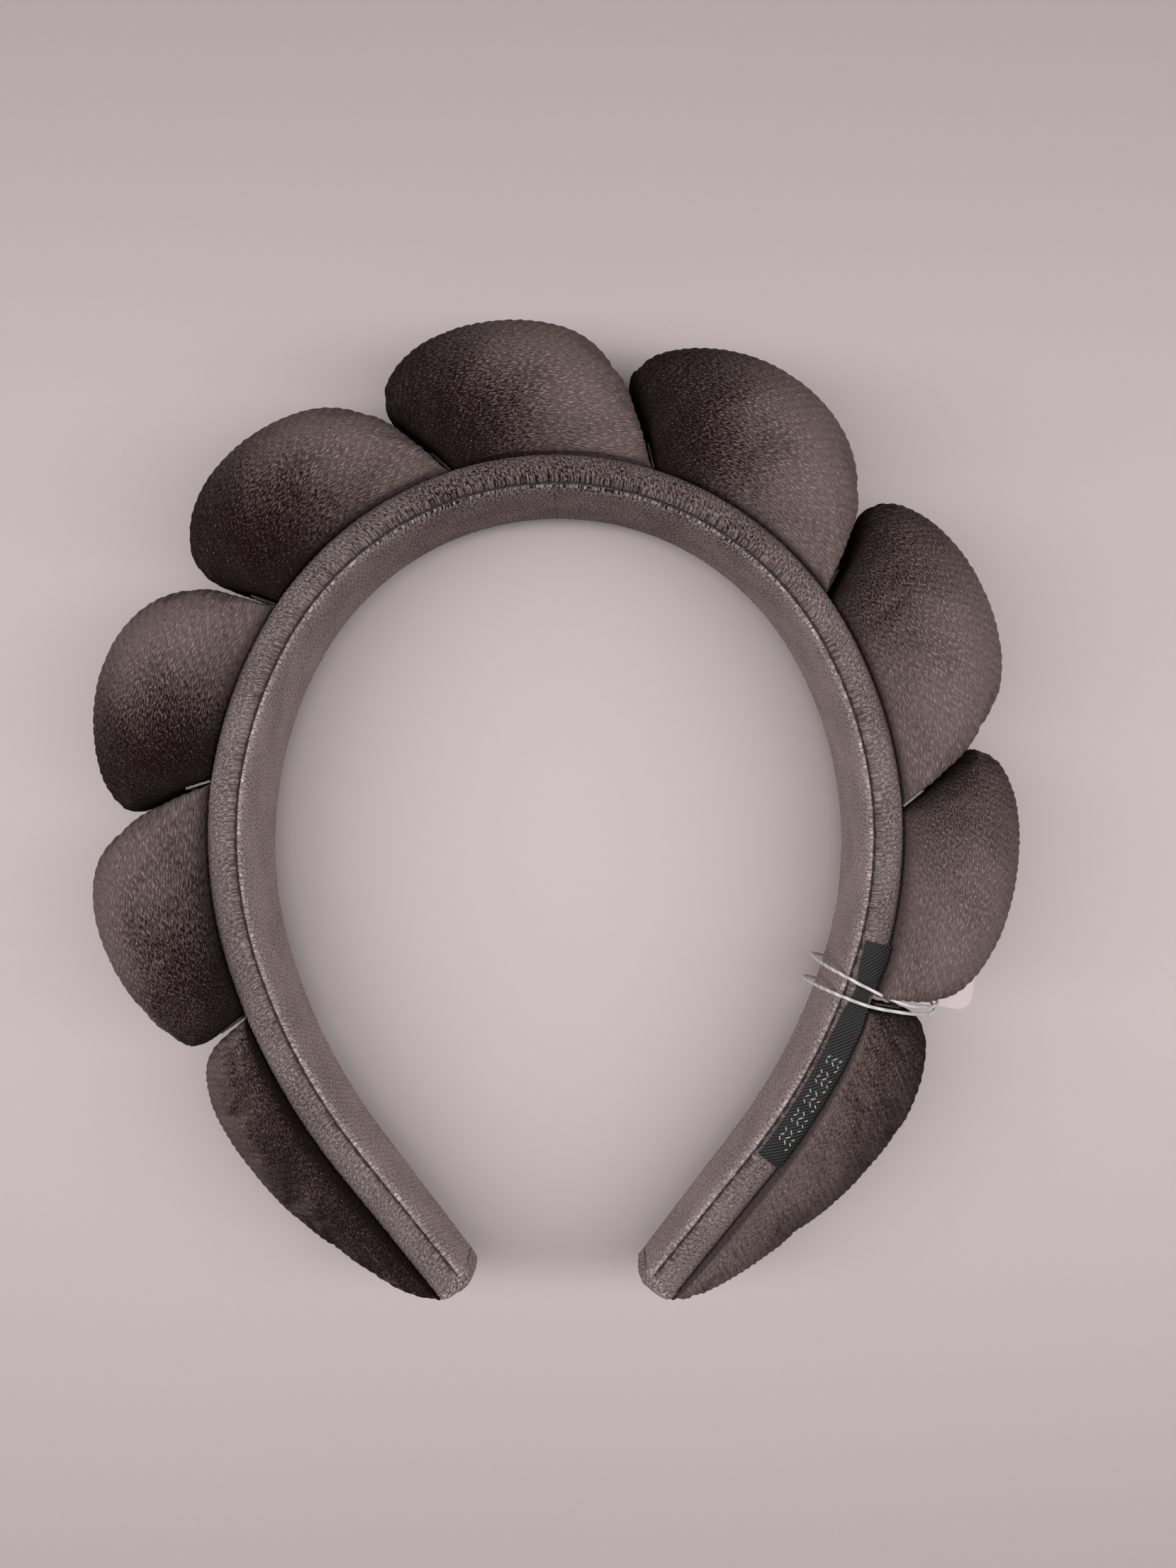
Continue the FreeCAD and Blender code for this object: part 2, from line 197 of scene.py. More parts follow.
def half_place(s, n):
    """The point and bearing at s and n on the right half, seen from the middle of the head's circle."""
    for start, end, centre, radius, bearing in ROWS:
        if s <= end:
            here = bearing + math.degrees((s - start) / radius)
            return centre + outward(here) * (radius + n), here
    return LEG_FOOT + outward(LEG_BEARING) * n + LEG_ALONG * (s - LEG_START), LEG_BEARING


def place(s, n, z=0.0):
    """The point at s, n and z, and the signed bearing there."""
    point, bearing = half_place(abs(s), n)
    if s < 0:
        point.x, bearing = -point.x, -bearing
    return point + HEAD + Vector((0, 0, z)), bearing


def outline_place(points):
    """s, n and the outward direction of each row of an array of points."""
    x, y = points[:, 0] - HEAD.x, points[:, 1] - HEAD.y
    sign = np.where(x < 0, -1.0, 1.0)
    x = np.abs(x)
    out = outward(LEG_BEARING)
    s = LEG_START + (x - LEG_FOOT.x) * LEG_ALONG.x + (y - LEG_FOOT.y) * LEG_ALONG.y
    n = (x - LEG_FOOT.x) * out.x + (y - LEG_FOOT.y) * out.y
    ox, oy = np.full_like(x, out.x), np.full_like(x, out.y)
    for start, end, centre, radius, bearing in reversed(ROWS):
        dx, dy = x - centre.x, y - centre.y
        here = np.degrees(np.arctan2(dx, dy))
        inside = here <= bearing + math.degrees((end - start) / radius)
        away = np.hypot(dx, dy)
        s = np.where(inside, start + np.radians(here - bearing) * radius, s)
        n = np.where(inside, away - radius, n)
        ox = np.where(inside, dx / away, ox)
        oy = np.where(inside, dy / away, oy)
    return s * sign, n, np.stack([ox * sign, oy, np.zeros_like(ox)], axis=1)


def places(s, n):
    """The point of each s and n of two arrays, as rows of x, y and no height."""
    sign, length = np.where(s < 0, -1.0, 1.0), np.abs(s)
    out = outward(LEG_BEARING)
    x = LEG_FOOT.x + out.x * n + LEG_ALONG.x * (length - LEG_START)
    y = LEG_FOOT.y + out.y * n + LEG_ALONG.y * (length - LEG_START)
    for start, end, centre, radius, bearing in reversed(ROWS):
        here = math.radians(bearing) + (length - start) / radius
        x = np.where(length <= end, centre.x + np.sin(here) * (radius + n), x)
        y = np.where(length <= end, centre.y + np.cos(here) * (radius + n), y)
    return np.stack([x * sign + HEAD.x, y + HEAD.y, np.zeros_like(x)], axis=1)


def run_of(out):
    """The clockwise direction at each row of an array of outward ones."""
    return np.stack([out[:, 1], -out[:, 0], np.zeros(len(out))], axis=1)


def rib_wave(distance, pitch):
    """1 on each rib and 0 between ribs, pitch in millimetres."""
    return 0.5 + 0.5 * np.cos(distance / (pitch * MM) * 2 * math.pi)


def half_width(y):
    """Half the band's width at a place down the legs."""
    share = np.clip(-(y - HEAD.y) / TAPER_LENGTH, 0, 1)
    return CROWN_HALF_WIDTH + (TIP_HALF_WIDTH - CROWN_HALF_WIDTH) * share


def soft_floor(value, low, reach):
    """value kept above low, rounded off over reach."""
    return low + reach * np.logaddexp(0, (value - low) / reach)


# ---- Mesh helpers ----
def coordinates(mesh):
    co = np.empty(len(mesh.vertices) * 3)
    mesh.vertices.foreach_get("co", co)
    return co.reshape(-1, 3)


def set_coordinates(mesh, co):
    mesh.vertices.foreach_set("co", co.astype(np.float32).ravel())
    mesh.update()


def normals(mesh):
    values = np.empty(len(mesh.vertices) * 3, np.float32)
    mesh.vertex_normals.foreach_get("vector", values)
    return values.reshape(-1, 3).astype(float)


def new_object(name, data):
    obj = bpy.data.objects.new(name, data)
    bpy.context.scene.collection.objects.link(obj)
    return obj


def object_from(name, bm, smooth=True):
    """The bmesh as a new object in the scene."""
    mesh = bpy.data.meshes.new(name)
    bm.to_mesh(mesh)
    bm.free()
    mesh.polygons.foreach_set("use_smooth", [smooth] * len(mesh.polygons))
    return new_object(name, mesh)


def subdivide(obj, levels):
    """Applies levels of Catmull-Clark subdivision to the object's mesh."""
    modifier = obj.modifiers.new("rounding", "SUBSURF")
    modifier.levels = modifier.render_levels = levels
    graph = bpy.context.evaluated_depsgraph_get()
    mesh = bpy.data.meshes.new_from_object(obj.evaluated_get(graph))
    obj.modifiers.remove(modifier)
    mesh.name = obj.name
    obj.data = mesh
    mesh.polygons.foreach_set("use_smooth", [True] * len(mesh.polygons))


def set_cloth_map(mesh, u, v):
    """The cloth map, in millimetres, from one pair of values for each vertex."""
    layer = mesh.uv_layers.new(name="cloth")
    index = np.empty(len(mesh.loops), np.int32)
    mesh.loops.foreach_get("vertex_index", index)
    uv = np.stack([u[index], v[index]], axis=1) / MM
    layer.data.foreach_set("uv", uv.astype(np.float32).ravel())


def set_painted_sheen(mesh, values):
    """Painted sheen and shade for each vertex, from -1, painted shade, to 1, painted light."""
    attribute = mesh.attributes.new("nap", "FLOAT", "POINT")
    attribute.data.foreach_set("value", values.astype(np.float32))


def of_kind(geometry, kind):
    return [g for g in geometry if isinstance(g, kind)]


def swept(s0, s1, profile, step, side=1):
    """A closed section of (n, height from the middle) carried along the outline, with its ends filled."""
    bm = bmesh.new()
    ring = [bm.verts.new(half_place(s0, n)[0] + Vector((0, 0, z))) for n, z in profile]
    edges = [bm.edges.new(pair) for pair in zip(ring, ring[1:] + ring[:1])]
    bmesh.ops.contextual_create(bm, geom=edges)
    for start, end, centre, radius, _ in ROWS:
        low, high = max(s0, start), min(s1, end)
        if high > low:
            spun = bmesh.ops.spin(
                bm, geom=edges, cent=centre, axis=(0, 0, -1), dvec=(0, 0, 0),
                angle=(high - low) / radius, steps=max(1, round((high - low) / step)),
            )
            edges = of_kind(spun["geom_last"], bmesh.types.BMEdge)
    low = max(s0, LEG_START)
    count = max(1, round((s1 - low) / step))
    for _ in range(count if s1 > low else 0):
        grown = bmesh.ops.extrude_edge_only(bm, edges=edges)["geom"]
        fresh = of_kind(grown, bmesh.types.BMVert)
        edges = [e for e in of_kind(grown, bmesh.types.BMEdge) if all(v in fresh for v in e.verts)]
        bmesh.ops.translate(bm, verts=fresh, vec=LEG_ALONG * ((s1 - low) / count))
    bmesh.ops.contextual_create(bm, geom=edges)
    if side < 0:
        bmesh.ops.scale(bm, vec=(-1, 1, 1), verts=bm.verts)
    bmesh.ops.translate(bm, vec=HEAD + Vector((0, 0, MID_Z)), verts=bm.verts)
    bmesh.ops.recalc_face_normals(bm, faces=bm.faces)
    return bm


def taper(co):
    """Narrows a swept form down the legs, as the band narrows."""
    share = half_width(co[:, 1]) / CROWN_HALF_WIDTH
    co[:, 2] = MID_Z + (co[:, 2] - MID_Z) * share
    return co


def lay_stitch(bm, here, turn, size, facets):
    """One stitch: a small ball drawn out to a size, turned about Z and laid at a place."""
    ball = bmesh.ops.create_uvsphere(bm, u_segments=facets[0], v_segments=facets[1], radius=1.0)["verts"]
    form = Matrix.Translation(here) @ Matrix.Rotation(turn, 4, "Z") @ Matrix.Diagonal((*size, 1.0))
    bmesh.ops.transform(bm, matrix=form, verts=ball)


def bend_at_joint(obj, side):
    """Bakes the object's placement into its mesh; it finds the place of the side's flex joint but does not use it.
    """
    middle, bearing = place(side * JOINT_S, JOINT_N, MID_Z)
    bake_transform(obj)


# ---- Material helpers ----
def plug(tree, socket, value):
    """Links a socket or sets it to a constant; None leaves it as it is."""
    if isinstance(value, bpy.types.NodeSocket):
        tree.links.new(value, socket)
    elif value is not None:
        socket.default_value = value


def new_node(tree, kind, values=(), **settings):
    """A new shader node with its settings, and its first inputs plugged."""
    node = tree.nodes.new("ShaderNode" + kind)
    for key, value in settings.items():
        setattr(node, key, value)
    for socket, value in zip(node.inputs, values):
        plug(tree, socket, value)
    return node


def calc(tree, operation, a, b=None, c=None, clamp=False):
    """One step of arithmetic on masks and numbers."""
    return new_node(tree, "Math", (a, b, c), operation=operation, use_clamp=clamp).outputs[0]


def weighed(tree, a, a_share, b, b_share):
    """Two masks added in their shares."""
    return calc(tree, "MULTIPLY_ADD", a, a_share, calc(tree, "MULTIPLY", b, b_share))


def mix_colour(tree, factor, a, b):
    node = new_node(tree, "Mix", data_type="RGBA")
    for index, value in ((0, factor), (6, a), (7, b)):
        plug(tree, node.inputs[index], (*value, 1.0) if isinstance(value, tuple) else value)
    return node.outputs[2]


def ramp(tree, value, low, high, to_low=0.0, to_high=1.0):
    values = (value, low, high, to_low, to_high)
    return new_node(tree, "MapRange", values, interpolation_type="SMOOTHSTEP").outputs[0]


def noise(tree, vector, scale, detail=2.0, rough=0.5):
    node = new_node(tree, "TexNoise", (vector,))
    for name, value in (("Scale", scale), ("Detail", detail), ("Roughness", rough)):
        node.inputs[name].default_value = value
    return node.outputs["Fac"]


def bump(tree, height, distance):
    node = new_node(tree, "Bump")
    node.inputs["Strength"].default_value = 1.0
    node.inputs["Distance"].default_value = distance
    tree.links.new(height, node.inputs["Height"])
    return node.outputs["Normal"]


def new_group(name, settings, masks):
    """A node group that reads the cloth map and settings: its tree, its inputs and its masks."""
    tree = bpy.data.node_groups.new(name, "ShaderNodeTree")
    tree.interface.new_socket("Cloth Map", in_out="INPUT", socket_type="NodeSocketVector")
    for label, default in settings.items():
        socket = tree.interface.new_socket(label, in_out="INPUT", socket_type="NodeSocketFloat")
        socket.default_value = default
    for label in masks:
        tree.interface.new_socket(label, in_out="OUTPUT", socket_type="NodeSocketFloat")
    return tree, tree.nodes.new("NodeGroupInput").outputs, tree.nodes.new("NodeGroupOutput").inputs


def use_group(tree, name, **inputs):
    """A group placed in a material; an underscore in a name stands for a space."""
    node = new_node(tree, "Group", node_tree=bpy.data.node_groups[name])
    for key, value in inputs.items():
        plug(tree, node.inputs[key.replace("_", " ")], value)
    return node.outputs


def material(name, colour=(0.5, 0.5, 0.5), **principled):
    """A new material, its tree and its Principled shader with constant inputs set."""
    made = bpy.data.materials.new(name)
    made.use_nodes = True
    shader = made.node_tree.nodes["Principled BSDF"]
    shader.inputs["Base Color"].default_value = (*colour, 1.0)
    for key, value in principled.items():
        shader.inputs[key.replace("_", " ")].default_value = value
    return made, made.node_tree, shader


def surface(tree, shader, colour, rough=None, normal=None):
    """Links a material's colour, roughness and normal."""
    for name, value in (("Base Color", colour), ("Roughness", rough), ("Normal", normal)):
        plug(tree, shader.inputs[name], value)


def shade(colour, factor):
    """A colour made darker or lighter."""
    return tuple(min(1.0, part * factor) for part in colour)


def cloth_map(tree):
    return new_node(tree, "UVMap", uv_map="cloth").outputs["UV"]


def object_map(tree):
    return new_node(tree, "TexCoord").outputs["Object"]


# ---- Materials ----
def build_groups():
    """The shared effects: ribs of the knit, flecks, patches and painted glints of the pile, and a plain weave."""
    tree, given, masks = new_group("knit_ribs", {"Pitch": 1.37, "Wander": 0.3}, ("Rib",))
    cloth = given["Cloth Map"]
    across = new_node(tree, "SeparateXYZ", (cloth,)).outputs["X"]
    drift = calc(tree, "SUBTRACT", noise(tree, cloth, 0.35), 0.5)
    drift = calc(tree, "MULTIPLY", drift, given["Wander"])
    turns = calc(tree, "DIVIDE", calc(tree, "ADD", across, drift), given["Pitch"])
    wave = calc(tree, "COSINE", calc(tree, "MULTIPLY", turns, 2 * math.pi))
    plug(tree, masks["Rib"], calc(tree, "MULTIPLY_ADD", wave, 0.5, 0.5))

    tree, given, masks = new_group("pile_flecks", {"Length": 0.8, "Width": 0.3}, ("Fleck", "Glint", "Patch"))
    cloth = given["Cloth Map"]
    sizes = new_node(tree, "CombineXYZ", (given["Length"], given["Width"], 1.0)).outputs[0]
    shrunk = new_node(tree, "VectorMath", (cloth, sizes), operation="DIVIDE").outputs[0]
    plug(tree, masks["Fleck"], ramp(tree, noise(tree, shrunk, 1.0, 2.0, 0.6), 0.38, 0.62))
    plug(tree, masks["Glint"], ramp(tree, noise(tree, shrunk, 1.3, 1.0), 0.64, 0.74))
    plug(tree, masks["Patch"], ramp(tree, noise(tree, cloth, 0.11, 2.0), 0.3, 0.7))

    tree, given, masks = new_group("plain_weave", {"Threads": 3.0}, ("Weave",))
    scaled = new_node(tree, "VectorMath", (given["Cloth Map"],), operation="SCALE")
    plug(tree, scaled.inputs["Scale"], calc(tree, "MULTIPLY", given["Threads"], math.pi))
    parts = new_node(tree, "SeparateXYZ", (scaled.outputs[0],)).outputs
    warp, weft = (calc(tree, "SINE", parts[axis]) for axis in "XY")
    crossed = calc(tree, "MULTIPLY", warp, weft)
    plug(tree, masks["Weave"], calc(tree, "MULTIPLY_ADD", crossed, 0.5, 0.5))


def velour(name, dark, light, painted_sheen_share, rib_painted_shade, rib_bump, pitch, fleck, sheen):
    """Ribbed knit velour: short streaky pile with a silvery sheen, painted shade between the ribs, painted glints,
    and painted sheen and shade from a per-vertex value.
    """
    made, tree, shader = material(
        name, Roughness=0.8, Specular_IOR_Level=0.06, Sheen_Weight=sheen, Sheen_Roughness=0.42,
        Sheen_Tint=(0.95, 0.76, 0.72, 1.0),
    )
    cloth = cloth_map(tree)
    rib = use_group(tree, "knit_ribs", Cloth_Map=cloth, Pitch=pitch, Wander=0.35)["Rib"]
    pile = use_group(tree, "pile_flecks", Cloth_Map=cloth, Length=fleck[0], Width=fleck[1])
    nap = new_node(tree, "Attribute", attribute_name="nap").outputs["Fac"]
    # Painted sheen and shade: a per-vertex value, from painted shade to painted light, sets the base of the pile's
    # tone.
    tone = calc(tree, "ADD", ramp(tree, nap, -0.75, 0.75, -painted_sheen_share, painted_sheen_share), 0.30)
    # The flecks and patches are the pile's own tone; the rib term is painted shade, darker in the grooves between
    # the ribs.
    for mask, share in ((pile["Fleck"], 0.60), (pile["Patch"], 0.16), (rib, rib_painted_shade)):
        tone = calc(tree, "MULTIPLY_ADD", mask, share, tone)
    tone = calc(tree, "SUBTRACT", tone, 0.37 + rib_painted_shade * 0.6, clamp=True)
    # Painted glints: specks of the pile mixed towards a colour brighter than the light one.
    painted_glint = calc(tree, "MULTIPLY", pile["Glint"], 0.55)
    colour = mix_colour(tree, painted_glint, mix_colour(tree, tone, tuple(dark), tuple(light)), shade(light, 1.9))
    rough = calc(tree, "MULTIPLY_ADD", pile["Glint"], -0.3, 0.82)
    height = weighed(tree, rib, rib_bump, pile["Fleck"], 0.5)
    surface(tree, shader, colour, rough, bump(tree, height, 0.00045))
    return made


def thread_material(name, colour, pitch, sheen=0.2):
    """Twisted thread: slanted strands along an object-space pattern."""
    made, tree, shader = material(name, colour, Roughness=0.7, Sheen_Weight=sheen, Sheen_Roughness=0.4)
    where = object_map(tree)
    twist = new_node(tree, "TexWave", (where,), wave_type="BANDS", bands_direction="DIAGONAL")
    twist.inputs["Scale"].default_value = 1.0 / pitch
    twist.inputs["Distortion"].default_value = 1.2
    strand = weighed(tree, twist.outputs["Fac"], 0.45, noise(tree, where, 900.0), 0.4)
    colours = mix_colour(tree, strand, shade(colour, 0.45), shade(colour, 1.25))
    surface(tree, shader, colours, normal=bump(tree, strand, 0.0002))
    return made


def speckled_material(name, colour, scale, contrast, depth, rough, **principled):
    """A moulded, felted or foamed surface: an even colour broken by fine grain."""
    made, tree, shader = material(name, colour, Roughness=rough, **principled)
    where = object_map(tree)
    grain = noise(tree, where, scale, 3.0, 0.6)
    tone = weighed(tree, noise(tree, where, scale * 0.08), 0.5, grain, 0.5)
    colours = mix_colour(tree, tone, shade(colour, 1 - contrast), shade(colour, 1 + contrast))
    dulled = ramp(tree, grain, 0.2, 0.8, rough * 0.85, min(1.0, rough * 1.15))
    surface(tree, shader, colours, dulled, bump(tree, grain, depth))
    return made


def label_material(colour):
    """Black satin tape: a tight weave with a faint lustre."""
    made, tree, shader = material(
        "label_satin", colour, Roughness=0.5, Specular_IOR_Level=0.35, Sheen_Weight=0.15,
    )
    cloth = cloth_map(tree)
    weave = use_group(tree, "plain_weave", Cloth_Map=cloth, Threads=2.6)["Weave"]
    tone = weighed(tree, weave, 0.6, noise(tree, cloth, 2.5, 3.0), 0.4)
    colours = mix_colour(tree, tone, shade(colour, 0.4), shade(colour, 2.2))
    surface(tree, shader, colours, ramp(tree, weave, 0.1, 0.9, 0.62, 0.42), bump(tree, weave, 0.00012))
    return made


def card_material(colour):
    """Coated card: a smooth varnish over faint fibres."""
    made, tree, shader = material(
        "card_coated", colour, Roughness=0.3, Coat_Weight=0.5, Coat_Roughness=0.12,
    )
    where = object_map(tree)
    fibre = noise(tree, where, 600.0, 4.0, 0.6)
    tone = weighed(tree, fibre, 0.5, noise(tree, where, 40.0), 0.5)
    colours = mix_colour(tree, tone, shade(colour, 0.93), shade(colour, 1.05))
    surface(tree, shader, colours, ramp(tree, fibre, 0.2, 0.8, 0.24, 0.36), bump(tree, fibre, 0.00002))
    return made


def clear_material():
    """Clear nylon thread, its colours kept dark as painted shade, with fine draw marks."""
    # Painted shade: the clear thread's colours are kept dark, as if shaded in the creases it lies in.
    made, tree, shader = material(
        "clear_nylon", (0.20, 0.17, 0.17), Roughness=0.15, IOR=1.4, Transmission_Weight=0.85,
    )
    marks = noise(tree, object_map(tree), 1200.0)
    colours = mix_colour(tree, marks, (0.16, 0.13, 0.13), (0.30, 0.26, 0.26))
    surface(tree, shader, colours, ramp(tree, marks, 0.3, 0.7, 0.08, 0.22))
    return made


# ---- Puffs ----
def pinch_frame(index):
    """A point on the pinch and the unit vector towards the puff after it."""
    s_base, s_notch, n_notch = PINCHES[index]
    if index in JOINTED:
        root, _ = place(math.copysign(JOINT_S, s_base), JOINT_N)
    else:
        root, _ = place(s_base * MM, BAND_DEPTH)
    notch, _ = place(s_notch * MM, n_notch * MM)
    line = (notch - root).normalized()
    return np.array(root), np.array((line.y, -line.x, 0.0))


def puff_sides(number):
    """(point, inward direction, gap) of the pinches at a puff's two ends."""
    sides = []
    for index, way in ((number - 2, 1), (number - 1, -1)):
        if 0 <= index < len(PINCHES):
            root, after = pinch_frame(index)
            sides.append((root, after * way, STRING_GAP if index == STRING_PINCH else GATHER_GAP))
    return sides


def table_level(number):
    """The height of what a puff lies on: the tag's card or the table."""
    return TAG_ROOM if number == TAG_PUFF else 0.0


def fit_puff(co, number, reach):
    """Keeps a puff between its pinches, off the band and above the table, with rounded turns."""
    lap = PUFFS[number - 1][4] * MM
    for root, inward, gap in puff_sides(number):
        depth = (co - root) @ inward
        co = co + np.outer(soft_floor(depth, gap, reach) - depth, inward)
    s, n, out = outline_place(co)
    top = half_width(co[:, 1]) + 0.0004
    over = np.clip((np.abs(co[:, 2] - MID_Z) - top) / 0.0025, 0, 1)
    low = BAND_DEPTH + CLEARANCE + (lap - BAND_DEPTH - CLEARANCE) * over * over * (3 - 2 * over)
    co = co + out * (soft_floor(n, low, 0.0005) - n)[:, None]
    co[:, 2] = soft_floor(co[:, 2], table_level(number) + CLEARANCE, 0.0007)
    return co


def pinch_s(index, n):
    """s of a pinch at n, both in millimetres; outside the notch it no longer leans."""
    s_base, s_notch, n_notch = PINCHES[index]
    low = BAND_DEPTH / MM
    return s_base + (s_notch - s_base) * np.clip((n - low) / (n_notch - low), 0, 1)


def puff_span(number, n):
    """s of a puff's two ends at n, in millimetres, the counter-clockwise one first."""
    start = pinch_s(number - 2, n) if number > 1 else -END_S
    end = pinch_s(number - 1, n) if number < len(PUFFS) else END_S
    return start, end


def puff_local(co, number):
    """Each point's place along (clockwise) and outward in a puff's own frame."""
    start, end = puff_span(number, PUFF_CORE / MM)
    centre, bearing = place((start + end) / 2 * MM, PUFF_CORE)
    out = outward(bearing)
    away = co - np.array(centre)
    return away @ np.array(clockwise(out)), away @ np.array(out)


def puff_profile(number, along):
    """n of a puff's outside and its half height, in millimetres, from -1 to 1 along it."""
    quarter, middle, far, height, _ = PUFFS[number - 1]
    closed = number in (1, len(PUFFS))
    inside = END_INSIDE if closed else PUFF_INSIDE
    first = PINCHES[number - 2][2] if number > 1 else END_N
    last = PINCHES[number - 1][2] if number < len(PUFFS) else END_N
    ends = [inside + (n - inside) / 0.9 for n in (first, last)]
    curve = np.polyfit((-1, -0.5, 0, 0.5, 1), (ends[0], quarter, middle, far, ends[1]), 4)
    return np.polyval(curve, along), height * (1 - 0.22 * along * along), inside


def puff_form(number):
    """A puff before it is filled: a ball drawn out to its profile between its two pinches."""
    closed = number in (1, len(PUFFS))
    bm = bmesh.new()
    bmesh.ops.create_uvsphere(bm, u_segments=56, v_segments=84 if closed else 54, radius=1.0)
    bmesh.ops.rotate(bm, cent=(0, 0, 0), matrix=Matrix.Rotation(math.pi / 2, 3, "Y"), verts=bm.verts)
    obj = object_from("puff_%d" % number, bm)
    ball = coordinates(obj.data)
    along = np.clip(ball[:, 0], -1, 1)
    girth = np.maximum(np.hypot(ball[:, 1], ball[:, 2]), 1e-6)
    power = 5.0 + 9.0 * np.clip(-ball[:, 1] / girth, 0, 1)
    full = (1 - np.abs(along) ** power) ** (1 / power)
    outside, height, inside = puff_profile(number, along)
    n = (outside + inside) / 2 + ball[:, 1] / girth * full * (outside - inside) / 2
    start, end = puff_span(number, n)
    s = start + (end - start) * (along + 1) / 2
    co = places(s * MM, n * MM)
    if closed:
        pinch, _ = place(math.copysign(PINCHES[-1][0] * MM, s[0]), 0)
        height = height * half_width(co[:, 1]) / half_width(np.array(pinch.y))
    co[:, 2] = MID_Z + ball[:, 2] / girth * full * height * MM
    set_coordinates(obj.data, fit_puff(co, number, 0.0005))
    bm = bmesh.new()
    bm.from_mesh(obj.data)
    bmesh.ops.recalc_face_normals(bm, faces=bm.faces)
    bm.to_mesh(obj.data)
    bm.free()
    return obj


def fill_puffs(puffs, pressure, cap):
    """All the covers in one cloth simulation, sewn at the pinches and the band and pushed out from inside."""
    scene = bpy.context.scene
    for number, obj in puffs.items():
        co = coordinates(obj.data)
        _, n, _ = outline_place(co)
        held = np.clip(1 - (n - BAND_DEPTH) / 0.003, 0, 1)
        for root, inward, gap in puff_sides(number):
            held = np.maximum(held, np.clip(1 - ((co - root) @ inward - gap) / 0.0022, 0, 1))
        held = np.maximum(held, np.clip(1 - co[:, 2] / 0.0015, 0, 1))
        sewn = obj.vertex_groups.new(name="sewn")
        for index in np.flatnonzero(held > 0.01):
            sewn.add([int(index)], float(held[index]), "REPLACE")
        cloth = obj.modifiers.new("filling", "CLOTH")
        cloth.settings.vertex_group_mass = "sewn"
        for key, value in CLOTH_SETTINGS.items():
            setattr(cloth.settings, key, value)
        cloth.settings.uniform_pressure_force = pressure
        cloth.settings.effector_weights.gravity = 0
        cloth.collision_settings.use_collision = False
        cloth.point_cache.frame_start, cloth.point_cache.frame_end = 1, FILL_FRAMES
    for step in range(1, FILL_FRAMES + 1):
        scene.frame_set(step)
    graph = bpy.context.evaluated_depsgraph_get()
    filled = {number: coordinates(obj.evaluated_get(graph).data) for number, obj in puffs.items()}
    for number, obj in puffs.items():
        before = coordinates(obj.data)
        moved = filled[number] - before
        size = np.linalg.norm(moved, axis=1)
        moved *= np.minimum(1, cap / np.maximum(size, 1e-9))[:, None]
        obj.modifiers.clear()
        obj.vertex_groups.clear()
        set_coordinates(obj.data, fit_puff(before + moved, number, 0.0004))
    scene.frame_set(1)


def finish_puff(obj, number, pitch, rib_depth):
    """The cover's ribs and pile edge as real relief, with its cloth map and its painted sheen and shade."""
    subdivide(obj, 2)
    mesh = obj.data
    co, out = coordinates(mesh), normals(mesh)
    x, y = puff_local(co, number)
    if number in (1, len(PUFFS)):
        across = x * math.cos(END_RIB_LEAN) - y * math.sin(END_RIB_LEAN)
    else:
        across = -np.arctan2(y + FAN_REACH, x + FAN_REACH) * FAN_RADIUS
    s, n, away = outline_place(co)
    around = -np.arctan2(co[:, 2] - MID_Z, n - PUFF_CORE) * PUFF_CORE
    start, end = puff_span(number, n / MM)
    share = (s / MM - start) / (end - start) * 2 - 1
    jitter = np.random.default_rng(100 + number).normal(0, 0.00005, len(co))
    rise = rib_depth * (rib_wave(across, pitch) - 1) + np.clip(jitter, -0.0001, 0.0001)
    free = np.clip((n - BAND_DEPTH) / 0.003, 0, 1)
    co = co + out * (rise * free)[:, None]
    co[:, 2] = np.maximum(co[:, 2], table_level(number))
    set_coordinates(mesh, co)
    set_cloth_map(mesh, across, around)
    # Painted sheen and shade: each puff's value and its growth clockwise along it, lighter where a face turns
    # clockwise, a painted rim light low on the left and painted shade low on the right.
    painted_middle, painted_growth = PAINTED_SHEEN_BY_PUFF[number - 1]
    lower = np.clip((0.01 - co[:, 1]) / 0.05, 0, 1)
    painted_rim_light = 1.1 * lower * np.clip(-out[:, 0] - 0.25, 0, 1)
    painted_rim_shade = 0.5 * lower * np.clip(out[:, 0], 0, 1)
    painted_facing_shade = 0.3 * (out * run_of(away)).sum(axis=1)
    set_painted_sheen(mesh, np.clip(painted_middle + painted_growth * share + painted_facing_shade + painted_rim_light - painted_rim_shade, -1, 1))


# ---- Property groups ----
COLOUR = {"subtype": "COLOR", "size": 3, "min": 0, "max": 1}
LENGTH = {"unit": "LENGTH", "precision": 5, "min": 0, "max": 0.01}


